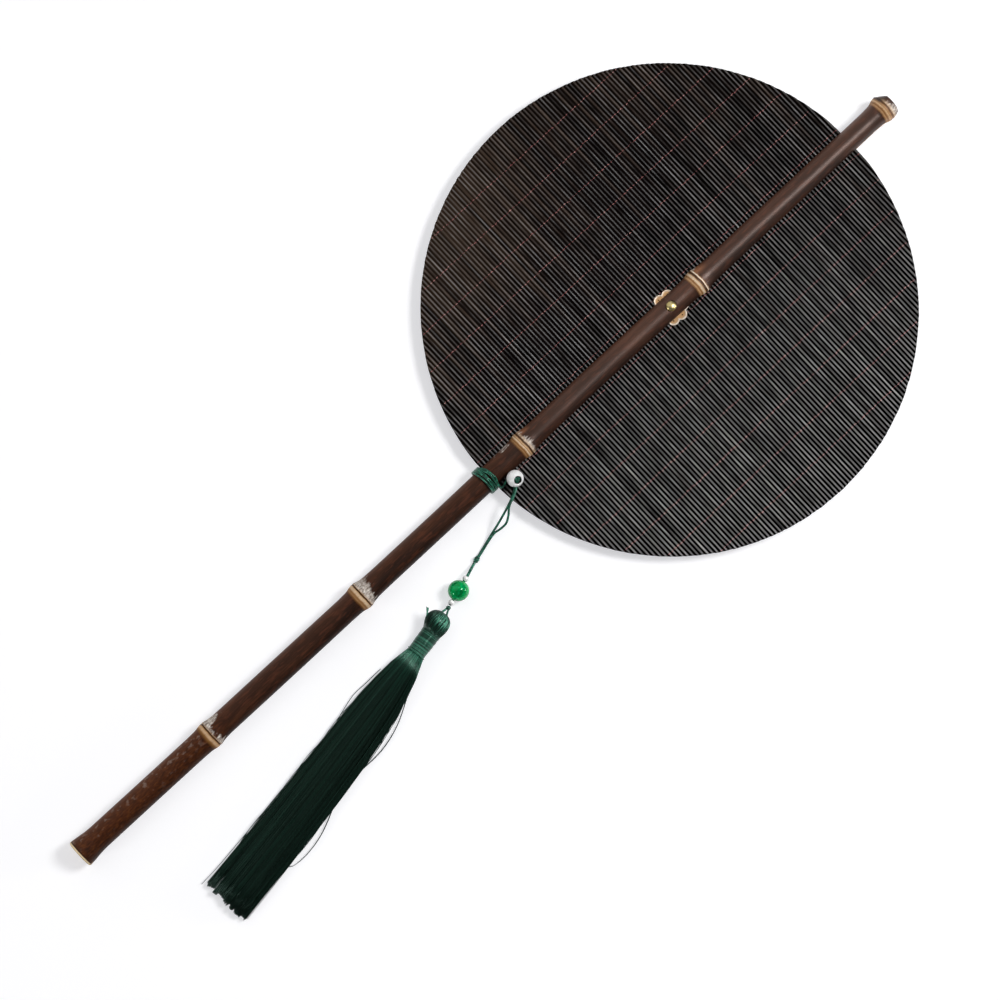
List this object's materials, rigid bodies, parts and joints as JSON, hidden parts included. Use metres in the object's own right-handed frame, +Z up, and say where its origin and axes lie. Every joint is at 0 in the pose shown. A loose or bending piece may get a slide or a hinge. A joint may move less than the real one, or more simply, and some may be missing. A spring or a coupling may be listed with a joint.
{
  "type": "round bamboo screen fan",
  "caption": "Rigid round hand fan: a mat of sewn bamboo slats riveted in the kerf of a split bamboo handle, with a bound cord, beads and a long thread tassel.",
  "frame": {"origin": "middle of the fan's own box, without the pendant, on the surface that it lies on", "axes": "+Y along the handle from butt to tip, +Z up out of the front of the fan, +X to the side where the pendant lies"},
  "size_m": [0.234, 0.5164, 0.0174],
  "materials": {
    "culm_bamboo": "dark stained bamboo culm, waxed to a soft gloss, paler at the nodes",
    "slat_bamboo": "near-black stained bamboo slats, satin",
    "washer_brass": "stamped pale brass, dulled",
    "rivet_brass": "polished brass",
    "cord": "twisted teal green cord",
    "silver": "polished silver plate",
    "jade": "vivid green translucent stone bead, polished",
    "tassel_thread": "dark forest green silky thread"
  },
  "bodies": {
    "handle": {"handle_culm": "culm_bamboo", "front_washer": "washer_brass", "rear_washer": "washer_brass", "pivot_rivet": "rivet_brass", "rivet_cap": "rivet_brass", "binding_cord": "cord"},
    "panel": {"panel_mat": "slat_bamboo"},
    "pendant": {"silver_bead": "silver", "bead_knot": "cord", "left_strand": "cord", "right_strand": "cord", "cord_knot": "cord", "stem_cord": "cord"},
    "bead_stack": {"upper_spacer": "silver", "jade_bead": "jade", "lower_spacer": "silver"},
    "tassel": {"tassel_loop": "cord", "tassel_head": "tassel_thread", "tassel_neck": "tassel_thread", "tassel_skirt": "tassel_thread"}
  },
  "joints": [
    {"name": "panel_swivel", "type": "hinge", "parent": "handle", "child": "panel", "pos_m": [0, 0.1143, 0.007], "axis": [0, 0, 1], "continuous": true},
    {"name": "pendant_swing", "type": "hinge", "parent": "handle", "child": "pendant", "pos_m": [0.00945, 0.00545, 0.0135], "axis": [0, 0, 1], "range_deg": [-5, 30]},
    {"name": "bead_spin", "type": "hinge", "parent": "pendant", "child": "bead_stack", "pos_m": [0.02923, -0.04868, 0.005], "axis": [0.2756, -0.9613, 0], "continuous": true},
    {"name": "tassel_swing", "type": "hinge", "parent": "pendant", "child": "tassel", "pos_m": [0.03206, -0.05855, 0.005], "axis": [0, 0, 1], "range_deg": [-7, 30]}
  ]
}
